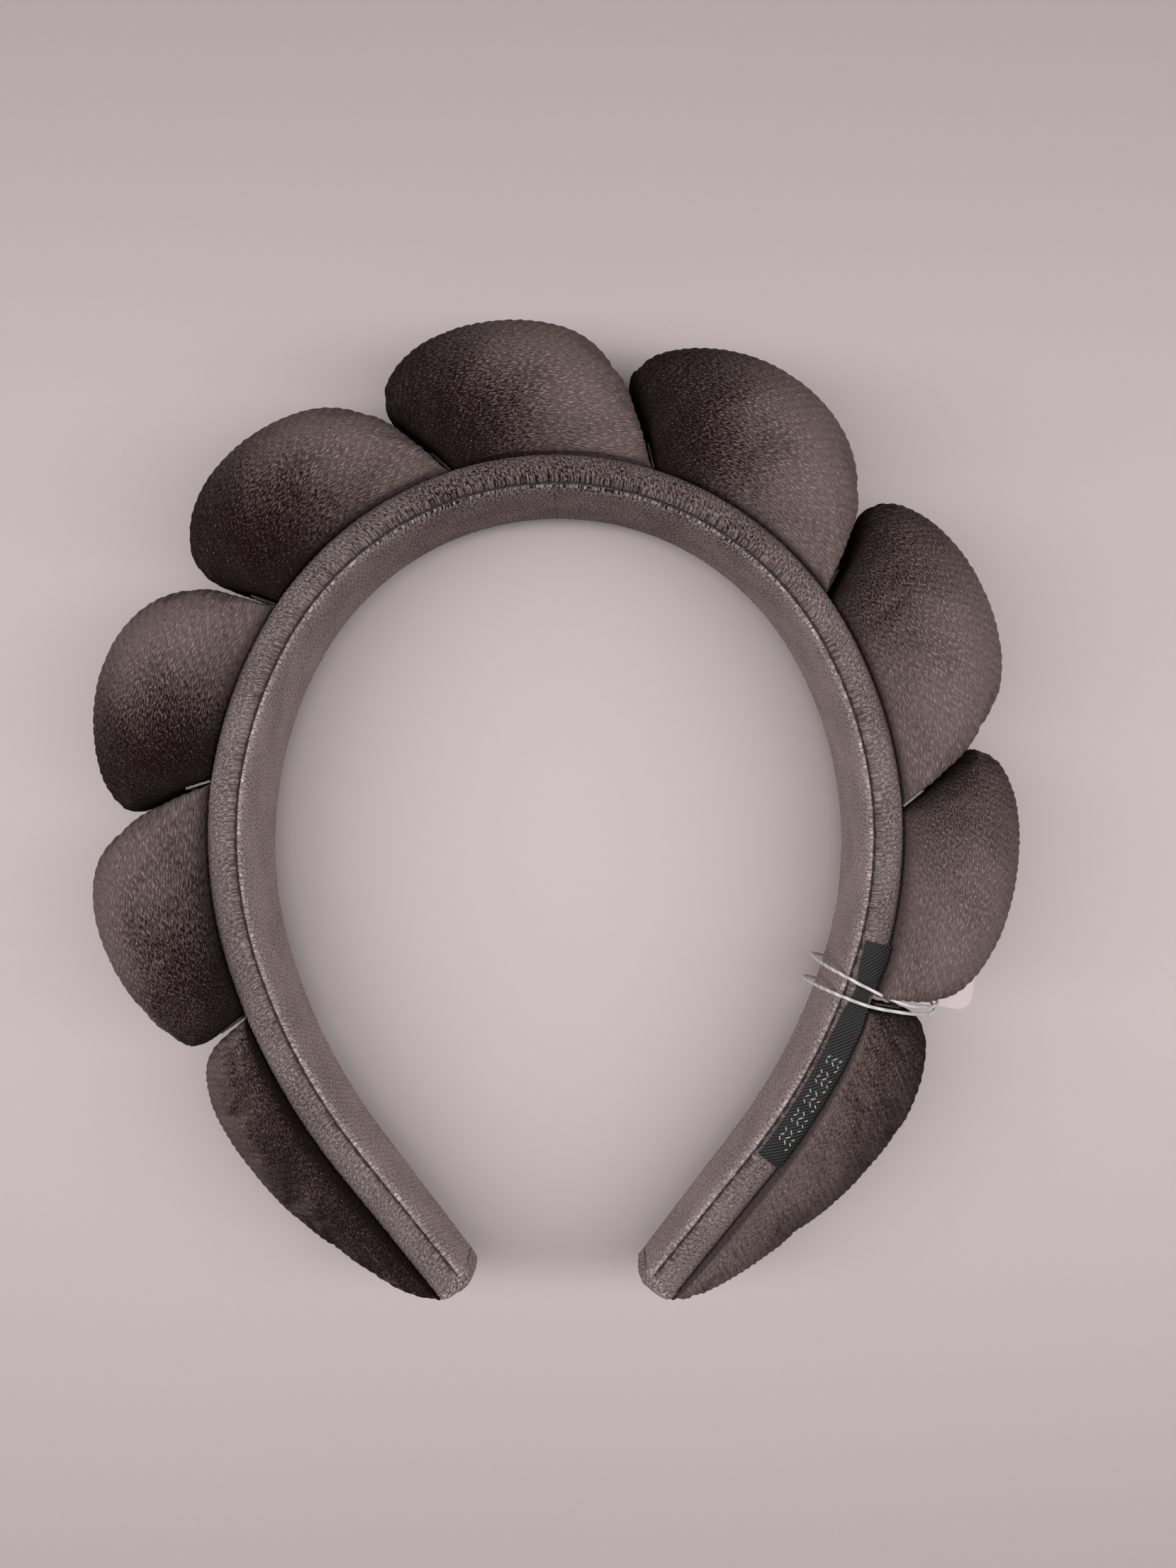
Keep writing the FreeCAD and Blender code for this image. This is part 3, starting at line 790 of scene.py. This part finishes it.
class HeadbandVelour(bpy.types.PropertyGroup):
    """Colours and sizes of the velour."""
    # The dark colour and the three light colours are the ends of the pile's tone: its flecks, and also its painted
    # sheen and shade, painted shade between ribs and painted glints. Brushed away means painted shade, brushed up
    # means painted sheen.
    dark: FloatVectorProperty(
        name="Pile Dark", description="Colour of the pile where it is brushed away",
        default=(0.012, 0.0036, 0.0032), **COLOUR,
    )
    light: FloatVectorProperty(
        name="Pile Light", description="Colour of the pile where it is brushed up",
        default=(0.25, 0.191, 0.182), **COLOUR,
    )
    band_light: FloatVectorProperty(
        name="Band Light", description="Light colour of the pile on the band's edge",
        default=(0.35, 0.285, 0.277), **COLOUR,
    )
    lining_light: FloatVectorProperty(
        name="Lining Light", description="Light colour of the lining",
        default=(0.58, 0.48, 0.465), **COLOUR,
    )
    rib_pitch: FloatProperty(
        name="Rib Pitch", description="Distance between ribs, in millimetres", default=1.37, min=0.5, max=4,
    )
    rib_depth: FloatProperty(
        name="Rib Depth", description="Depth of the grooves between ribs", default=0.00016, **LENGTH,
    )
    pressure: FloatProperty(
        name="Filling Pressure", description="Pressure of the filling in the simulation", default=4.0,
        min=0, max=20,
    )
    swell: FloatProperty(
        name="Largest Swell", description="How far the filling may push the cover out", default=0.0008,
        **LENGTH,
    )


class HeadbandTrim(bpy.types.PropertyGroup):
    """Colours of the threads, the label and the tag."""
    seam: FloatVectorProperty(
        name="Seam Thread", description="Colour of the running stitch",
        default=(0.022, 0.016, 0.015), **COLOUR,
    )
    label: FloatVectorProperty(
        name="Label", description="Colour of the woven label",
        default=(0.006, 0.006, 0.007), **COLOUR,
    )
    marks: FloatVectorProperty(
        name="Label Marks", description="Colour of the label's woven marks",
        default=(0.62, 0.60, 0.58), **COLOUR,
    )
    card: FloatVectorProperty(
        name="Tag Card", description="Colour of the tag's card",
        default=(0.78, 0.66, 0.67), **COLOUR,
    )
    string: FloatVectorProperty(
        name="Tag String", description="Colour of the tag's string",
        default=(0.80, 0.77, 0.76), **COLOUR,
    )
    stitch_pitch: FloatProperty(
        name="Stitch Pitch", description="Distance from one stitch to the next", default=0.0029, **LENGTH,
    )
    stitch_length: FloatProperty(
        name="Stitch Length", description="Length of each stitch that shows", default=0.0022, **LENGTH,
    )


class HeadbandStage(bpy.types.PropertyGroup):
    """The floor, the lights and the camera."""
    floor: FloatVectorProperty(
        name="Floor", description="Colour of the floor",
        default=(0.58, 0.51, 0.51), **COLOUR,
    )
    key: FloatProperty(
        name="Key Light", description="Power of the large light overhead", default=3.0, min=0, max=1000,
        unit="POWER",
    )
    world: FloatProperty(
        name="Room Light", description="Strength of the light from all round", default=0.10, min=0, max=10,
    )
    camera_height: FloatProperty(
        name="Camera Height", description="Height of the camera above the floor", default=0.243,
        min=0.05, max=5, unit="LENGTH",
    )
    lens: FloatProperty(
        name="Lens", description="Focal length for a sensor 36 mm long", default=27.03, min=5, max=300,
    )


# ---- Operators ----
class HEADBAND_OT_stage(bpy.types.Operator):
    """Make the floor, the lights and the camera"""
    bl_idname = "headband.stage"
    bl_label = "Stage"

    def execute(self, context):
        settings = context.scene.headband_stage
        bm = bmesh.new()
        bmesh.ops.create_circle(bm, cap_ends=True, cap_tris=False, segments=96, radius=1.6)
        bmesh.ops.translate(bm, vec=(0, 0, -0.0001), verts=bm.verts)
        floor = object_from("floor", bm, smooth=False)
        made, tree, shader = material("floor_matt", settings.floor, Roughness=0.55, Specular_IOR_Level=0.3)
        where = object_map(tree)
        tone = weighed(tree, noise(tree, where, 5.0, 1.0), 0.7, noise(tree, where, 420.0, 3.0), 0.3)
        pale = mix_colour(tree, tone, shade(settings.floor, 0.96), shade(settings.floor, 1.04))
        surface(tree, shader, pale)
        floor.data.materials.append(made)

        def area(name, at, target, size, power, tint):
            light = bpy.data.lights.new(name, "AREA")
            light.shape, light.size, light.size_y = "RECTANGLE", size[0], size[1]
            light.energy, light.color = power, tint
            obj = new_object(name, light)
            obj.location = at
            obj.rotation_euler = (Vector(target) - Vector(at)).to_track_quat("-Z", "Y").to_euler()

        key = settings.key
        area("key_light", (0.0, 0.0, 0.36), (0, 0, 0), (1.3, 0.12), key, (1.0, 0.97, 0.97))
        area("low_left_light", (-0.45, -0.40, 0.25), (0, 0, 0.02), (0.4, 0.3), key * 0.06, (1.0, 0.97, 0.96))
        world = bpy.data.worlds.new("room")
        world.use_nodes = True
        room = world.node_tree.nodes["Background"].inputs
        room["Color"].default_value = (0.86, 0.80, 0.80, 1)
        room["Strength"].default_value = settings.world
        context.scene.world = world
        context.scene.view_settings.view_transform = "Standard"
        camera = bpy.data.cameras.new("camera")
        camera.sensor_fit, camera.sensor_width, camera.lens = "AUTO", 36.0, settings.lens
        camera.clip_start = 0.01
        context.scene.camera = new_object("camera", camera)
        context.scene.camera.location = (*CAMERA_XY, settings.camera_height)
        return {"FINISHED"}


class HEADBAND_OT_tag(bpy.types.Operator):
    """Make the tag's string and finish its knot and card"""
    bl_idname = "headband.tag"
    bl_label = "Tag And String"

    def execute(self, context):
        trim = context.scene.headband_trim
        foot, bearing = place(STRING_S, 0)
        out = outward(bearing)
        along = clockwise(out)
        points = [foot + out * n * MM + along * t * MM + Vector((0, 0, z * MM)) for n, t, z in STRING_ROUTE]
        curve = bpy.data.curves.new("string", "CURVE")
        curve.dimensions = "3D"
        curve.bevel_depth = STRING_DIAMETER / 2
        curve.bevel_resolution = 3
        curve.use_fill_caps = True
        spline = curve.splines.new("NURBS")
        spline.points.add(len(points) - 1)
        for slot, point in zip(spline.points, points):
            slot.co = (*point, 1.0)
        spline.order_u = 3
        spline.use_endpoint_u = True
        spline.resolution_u = 8
        string = new_object("string", curve)
        white = thread_material("string_cotton", trim.string, 0.0035, sheen=0.3)
        curve.materials.append(white)
        card, knot = frame["nodes"]["tag_card"], frame["nodes"]["string_knot"]
        give(card, card_material(trim.card))
        give(knot, white)
        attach(string, "right_arm")
        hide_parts("tag_string")
        return {"FINISHED"}


def give(obj, made):
    """Gives an object one material."""
    obj.data.materials.clear()
    obj.data.materials.append(made)


class HEADBAND_OT_puffs(bpy.types.Operator):
    """Make the nine puffs: form, fill, ribs and painted sheen and shade"""
    bl_idname = "headband.puffs"
    bl_label = "Puffs"

    def execute(self, context):
        cloth = context.scene.headband_velour
        puffs = {number: puff_form(number) for number in range(1, len(PUFFS) + 1)}
        fill_puffs(puffs, cloth.pressure, cloth.swell)
        # 0.50 is the share of painted sheen and shade, 0.10 the share of painted shade between the ribs.
        made = velour(
            "velour_puff", cloth.dark, cloth.light, 0.50, 0.10, 0.22, cloth.rib_pitch, (0.55, 0.2), 0.04,
        )
        for number, obj in puffs.items():
            finish_puff(obj, number, cloth.rib_pitch, cloth.rib_depth)
            give(obj, made)
            if number in (3, 4, 6, 7):
                bend_at_joint(obj, -1 if number < 5 else 1)
            else:
                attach(obj, "crown" if number == 5 else "left_arm" if number < 5 else "right_arm")
            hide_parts("puff_cover_%d" % number, "puff_fill_%d" % number)
        return {"FINISHED"}


SLEEVE_PROFILE = (
    (1.25, 11.2), (1.35, 11.9), (1.65, 12.4), (2.2, 12.8), (3.0, 13.0), (3.9, 13.0), (4.8, 12.85),
    (5.6, 12.5), (6.2, 11.9), (6.5, 11.0), (6.6, 9.5), (6.6, 6.5), (6.6, 3.2), (6.6, 0.0),
)
SLEEVE_INSIDE = ((5.5, 0.0), (5.5, 5.0), (5.5, 10.4), (4.8, 11.5), (3.6, 11.9), (2.5, 11.8), (2.1, 11.2))
LINING_PROFILE = (
    (1.12, 11.2), (1.02, 11.9), (0.75, 12.25), (0.4, 12.2), (0.1, 11.8), (-0.1, 11.1), (-0.28, 10.0),
    (-0.4, 8.0), (-0.48, 5.5), (-0.5, 2.8), (-0.5, 0.0),
)
LINING_INSIDE = ((1.0, 0.0), (1.0, 5.0), (1.0, 10.0))


def mirrored_section(outside, inside):
    """A closed section from the upper half of its outer and inner faces, mirrored below the middle."""
    top, within = ([(n * MM, z * MM) for n, z in half] for half in (outside, inside))
    bottom, below = ([(n, -z) for n, z in half] for half in (top[-2::-1], within[:0:-1]))
    return top + bottom + below + within


def band_piece(name, side, section, seed, rib_depth, flip, painted_sheens):
    """One side of a cloth along the band, ribs across it; the last argument gives its painted sheen and shade at
    crown, side and tip.
    """
    obj = object_from(name, swept(0.0, S_END - TIP_FOLD, section, BAND_STEP, side))
    mesh = obj.data
    co = taper(coordinates(mesh))
    set_coordinates(mesh, co)
    out = normals(mesh)
    s, n, across = outline_place(co)
    along = run_of(across)
    out -= along * (out * along).sum(axis=1)[:, None]
    out /= np.maximum(np.linalg.norm(out, axis=1), 1e-6)[:, None]
    upper = np.where(co[:, 2] > MID_Z, 1.0, -1.0)
    around = flip * n * upper - (co[:, 2] - MID_Z)
    slant = 0.35 * around
    jitter = np.random.default_rng(seed).normal(0, 0.00004, len(co))
    rise = rib_depth * (rib_wave(s + slant, BAND_PITCH) - 1) + np.clip(jitter, -0.00009, 0.00009)
    co = co + out * rise[:, None]
    set_coordinates(mesh, co)
    set_cloth_map(mesh, s + slant, around)
    set_painted_sheen(mesh, np.interp(np.abs(s), (0.02, 0.07, 0.15), painted_sheens))
    for face in mesh.polygons:
        face.use_smooth = len(face.vertices) < 5
    return obj


class HEADBAND_OT_band(bpy.types.Operator):
    """Make the band's sleeve and lining"""
    bl_idname = "headband.band"
    bl_label = "Band And Lining"

    def execute(self, context):
        cloth = context.scene.headband_velour
        # The velours below carry painted sheen and shade, painted shade between the ribs and painted glints.
        fine = (BAND_PITCH, (0.3, 0.6), 0.2)
        edge = velour("velour_edge", cloth.dark, cloth.band_light, 0.35, 0.13, 0.35, *fine)
        inner = velour("velour_inner", cloth.dark, cloth.lining_light, 0.35, 0.10, 0.3, *fine)
        sleeve = mirrored_section(SLEEVE_PROFILE, SLEEVE_INSIDE)
        lining = mirrored_section(LINING_PROFILE, LINING_INSIDE)
        for side, word in ((-1, "left"), (1, "right")):
            # The last three values are painted sheen and shade along the band: darker at the crown, lighter down
            # the sides and tips.
            wrap = band_piece("sleeve_" + word, side, sleeve, 11 + side, 0.00007, 1.0, (0.0, 0.55, 0.5))
            liner = band_piece("liner_" + word, side, lining, 21 + side, 0.00005, 0.0, (-0.1, 0.6, 1.0))
            for obj, made, slot_name in ((wrap, edge, "velour_band"), (liner, inner, "velour_lining")):
                give(obj, made)
                bend_at_joint(obj, side)
            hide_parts("band_sleeve_" + word)
            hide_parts("lining_" + word)
            if side > 0:
                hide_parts("band_sleeve_crown")
                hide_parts("lining_crown")
        return {"FINISHED"}


class HEADBAND_OT_seams(bpy.types.Operator):
    """Sew the running stitch along both edges of the band"""
    bl_idname = "headband.seams"
    bl_label = "Seams"

    def execute(self, context):
        trim = context.scene.headband_trim
        made = thread_material("seam_thread_twist", trim.seam, 0.0009)
        draw = random.Random(7)
        for side, word in ((-1, "left"), (1, "right")):
            bm = bmesh.new()
            s = SEAM_START
            while s < S_END - TIP_FOLD - SEAM_STOP:
                for level in (1, -1):
                    length = trim.stitch_length * draw.uniform(0.85, 1.1)
                    at = side * (s + draw.uniform(-0.0002, 0.0002))
                    here, bearing = place(at, SEAM_N + draw.uniform(-0.00008, 0.00008))
                    here.z = MID_Z + level * half_width(here.y) * SEAM_Z / CROWN_HALF_WIDTH
                    turn = -math.radians(bearing) + draw.uniform(-0.08, 0.08)
                    lay_stitch(bm, here, turn, (length / 2, 0.00030, 0.00028), (8, 6))
                s += trim.stitch_pitch * draw.uniform(0.95, 1.05)
            obj = object_from("stitches_" + word, bm)
            give(obj, made)
            bend_at_joint(obj, side)
            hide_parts("seam_thread_" + word)
            if side > 0:
                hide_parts("seam_thread_crown")
        return {"FINISHED"}


class HEADBAND_OT_tips(bpy.types.Operator):
    """Fold the cover's end over each tip"""
    bl_idname = "headband.tips"
    bl_label = "Tips"

    def execute(self, context):
        cloth = context.scene.headband_velour
        # The folds' velour has painted shade between the ribs and painted glints; its painted sheen value is the
        # same all over.
        made = velour(
            "velour_fold", cloth.dark, cloth.lining_light, 0.2, 0.1, 0.4, cloth.rib_pitch, (0.5, 0.4), 0.3,
        )
        for side, word in ((-1, "left"), (1, "right")):
            middle = BAND_DEPTH / 2
            half = (TIP_HALF_WIDTH + 0.0004) * CROWN_HALF_WIDTH / TIP_HALF_WIDTH
            section = []
            for turn in range(24):
                out = outward(turn * 15)
                rise, across = (math.copysign(abs(part) ** 0.55, part) for part in out.xy)
                section.append((middle + across * (middle + 0.0007), rise * half))
            obj = object_from("tip_" + word, swept(S_END - TIP_FOLD - 0.0006, S_END, section, 0.00032, side))
            mesh = obj.data
            co = taper(coordinates(mesh))
            s, n, away = outline_place(co)
            close = np.clip((np.abs(s) - (S_END - 0.0016)) / 0.0016, 0, 1) ** 2
            co = co - away * ((n - middle) * close * 0.45)[:, None]
            co[:, 2] = MID_Z + (co[:, 2] - MID_Z) * (1 - 0.45 * close)
            set_coordinates(mesh, co)
            out = normals(mesh)
            rough = np.random.default_rng(31 + side).normal(0, 0.0001, len(co))
            set_coordinates(mesh, co + out * np.clip(rough, -0.0002, 0.0002)[:, None])
            set_cloth_map(mesh, s, (co[:, 2] - MID_Z) + n)
            set_painted_sheen(mesh, np.full(len(co), 0.4))
            give(obj, made)
            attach(obj, "right_arm" if side > 0 else "left_arm")
            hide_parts("tip_fold_" + word)
        return {"FINISHED"}


class HEADBAND_OT_label(bpy.types.Operator):
    """Make the woven label, its marks and the stitches that hold it"""
    bl_idname = "headband.label"
    bl_label = "Label"

    def execute(self, context):
        trim = context.scene.headband_trim
        low, high = LABEL_N
        top = CROWN_HALF_WIDTH + LABEL_LIFT
        shares = [k / 14 for k in range(15)]
        over = [(low + (high - low) * t, top + LABEL_BULGE * math.sin(math.pi * t)) for t in shares]
        under = [(n, z - LABEL_TAPE) for n, z in reversed(over)]
        obj = object_from("label", swept(LABEL_S[0], LABEL_S[1], over + under, 0.0005, 1), smooth=False)
        mesh = obj.data
        co = taper(coordinates(mesh))
        s, n, away = outline_place(co)
        pinch = np.exp(-((s - STRING_S) / 0.0035) ** 2)
        centre = (low + high) / 2
        co = co - away * ((n - centre) * pinch * 0.38)[:, None]
        ends = np.clip(1 - np.minimum(s - LABEL_S[0], LABEL_S[1] - s) / 0.0012, 0, 1)
        co[:, 2] += LABEL_RIPPLE * np.sin(s * RIPPLE_TURN) - 0.00015 * ends
        set_coordinates(mesh, co)
        set_cloth_map(mesh, s, n)
        give(obj, label_material(trim.label))
        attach(obj, "right_arm")
        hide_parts("woven_label")

        draw = random.Random(19)
        bm = bmesh.new()
        s, row = MARKS_S[0], 0
        while s < MARKS_S[1]:
            for n, length in MARK_ROWS:
                if (row + int(n * 10000)) % 4 == 0:
                    continue
                here, bearing = place(s + draw.uniform(-0.0001, 0.0001), n)
                share = half_width(here.y) / CROWN_HALF_WIDTH
                here.z = MID_Z + (top + LABEL_BULGE) * share + LABEL_RIPPLE * math.sin(s * RIPPLE_TURN)
                turn = -math.radians(bearing) + (0.7 if row % 2 else -0.7)
                lay_stitch(bm, here, turn, (length / 2, 0.00013, 0.00010), (6, 5))
            s, row = s + MARK_PITCH, row + 1
        marks = object_from("label_marks", bm)
        give(marks, thread_material("label_thread_twist", trim.marks, 0.0006))
        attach(marks, "right_arm")
        give(frame["nodes"]["label_tacks"], thread_material("tack_thread_twist", trim.seam, 0.0006))
        return {"FINISHED"}


class HEADBAND_OT_inner(bpy.types.Operator):
    """Finish the parts inside the band: hoop, padding, felt and gather threads"""
    bl_idname = "headband.inner"
    bl_label = "Inner Parts"

    def execute(self, context):
        finishes = {
            "hoop": speckled_material("hoop_moulded", (0.55, 0.55, 0.56), 900.0, 0.06, 0.00001, 0.35),
            "padding": speckled_material("foam_open_cell", (0.72, 0.70, 0.62), 1500.0, 0.2, 0.0002, 0.95),
            "felt_backing": speckled_material(
                "felt_grey", (0.20, 0.18, 0.18), 1800.0, 0.35, 0.0002, 0.95, Sheen_Weight=0.3,
            ),
            "gather_thread": clear_material(),
        }
        for name, node in frame["nodes"].items():
            for word, made in finishes.items():
                if name.startswith(word + "_"):
                    give(node, made)
        return {"FINISHED"}


class HEADBAND_PT_panel(bpy.types.Panel):
    """The headband's sizes, colours and pieces"""
    bl_idname = "HEADBAND_PT_panel"
    bl_label = "Spa Headband"
    bl_space_type = "VIEW_3D"
    bl_region_type = "UI"
    bl_category = "Headband"

    def draw(self, context):
        for name, kind in GROUPS:
            box = self.layout.box()
            for key in kind.__annotations__:
                box.prop(getattr(context.scene, name), key)
        for operator in OPERATORS:
            self.layout.operator(operator.bl_idname)


OPERATORS = (
    HEADBAND_OT_stage, HEADBAND_OT_tag, HEADBAND_OT_puffs, HEADBAND_OT_band, HEADBAND_OT_seams,
    HEADBAND_OT_tips, HEADBAND_OT_label, HEADBAND_OT_inner,
)
GROUPS = (
    ("headband_velour", HeadbandVelour), ("headband_trim", HeadbandTrim), ("headband_stage", HeadbandStage),
)


CLASSES = (*(group for _, group in GROUPS), *OPERATORS, HEADBAND_PT_panel)


def register():
    for kind in CLASSES:
        bpy.utils.register_class(kind)
    for name, group in GROUPS:
        setattr(bpy.types.Scene, name, PointerProperty(type=group))


def unregister():
    for name, _ in GROUPS:
        delattr(bpy.types.Scene, name)
    for kind in reversed(CLASSES):
        bpy.utils.unregister_class(kind)


def main():
    register()
    build_groups()
    bpy.ops.headband.stage()
    bpy.ops.headband.tag()
    bpy.ops.headband.puffs()
    bpy.ops.headband.band()
    bpy.ops.headband.seams()
    bpy.ops.headband.tips()
    bpy.ops.headband.label()
    bpy.ops.headband.inner()


if __name__ == "__main__":
    main()
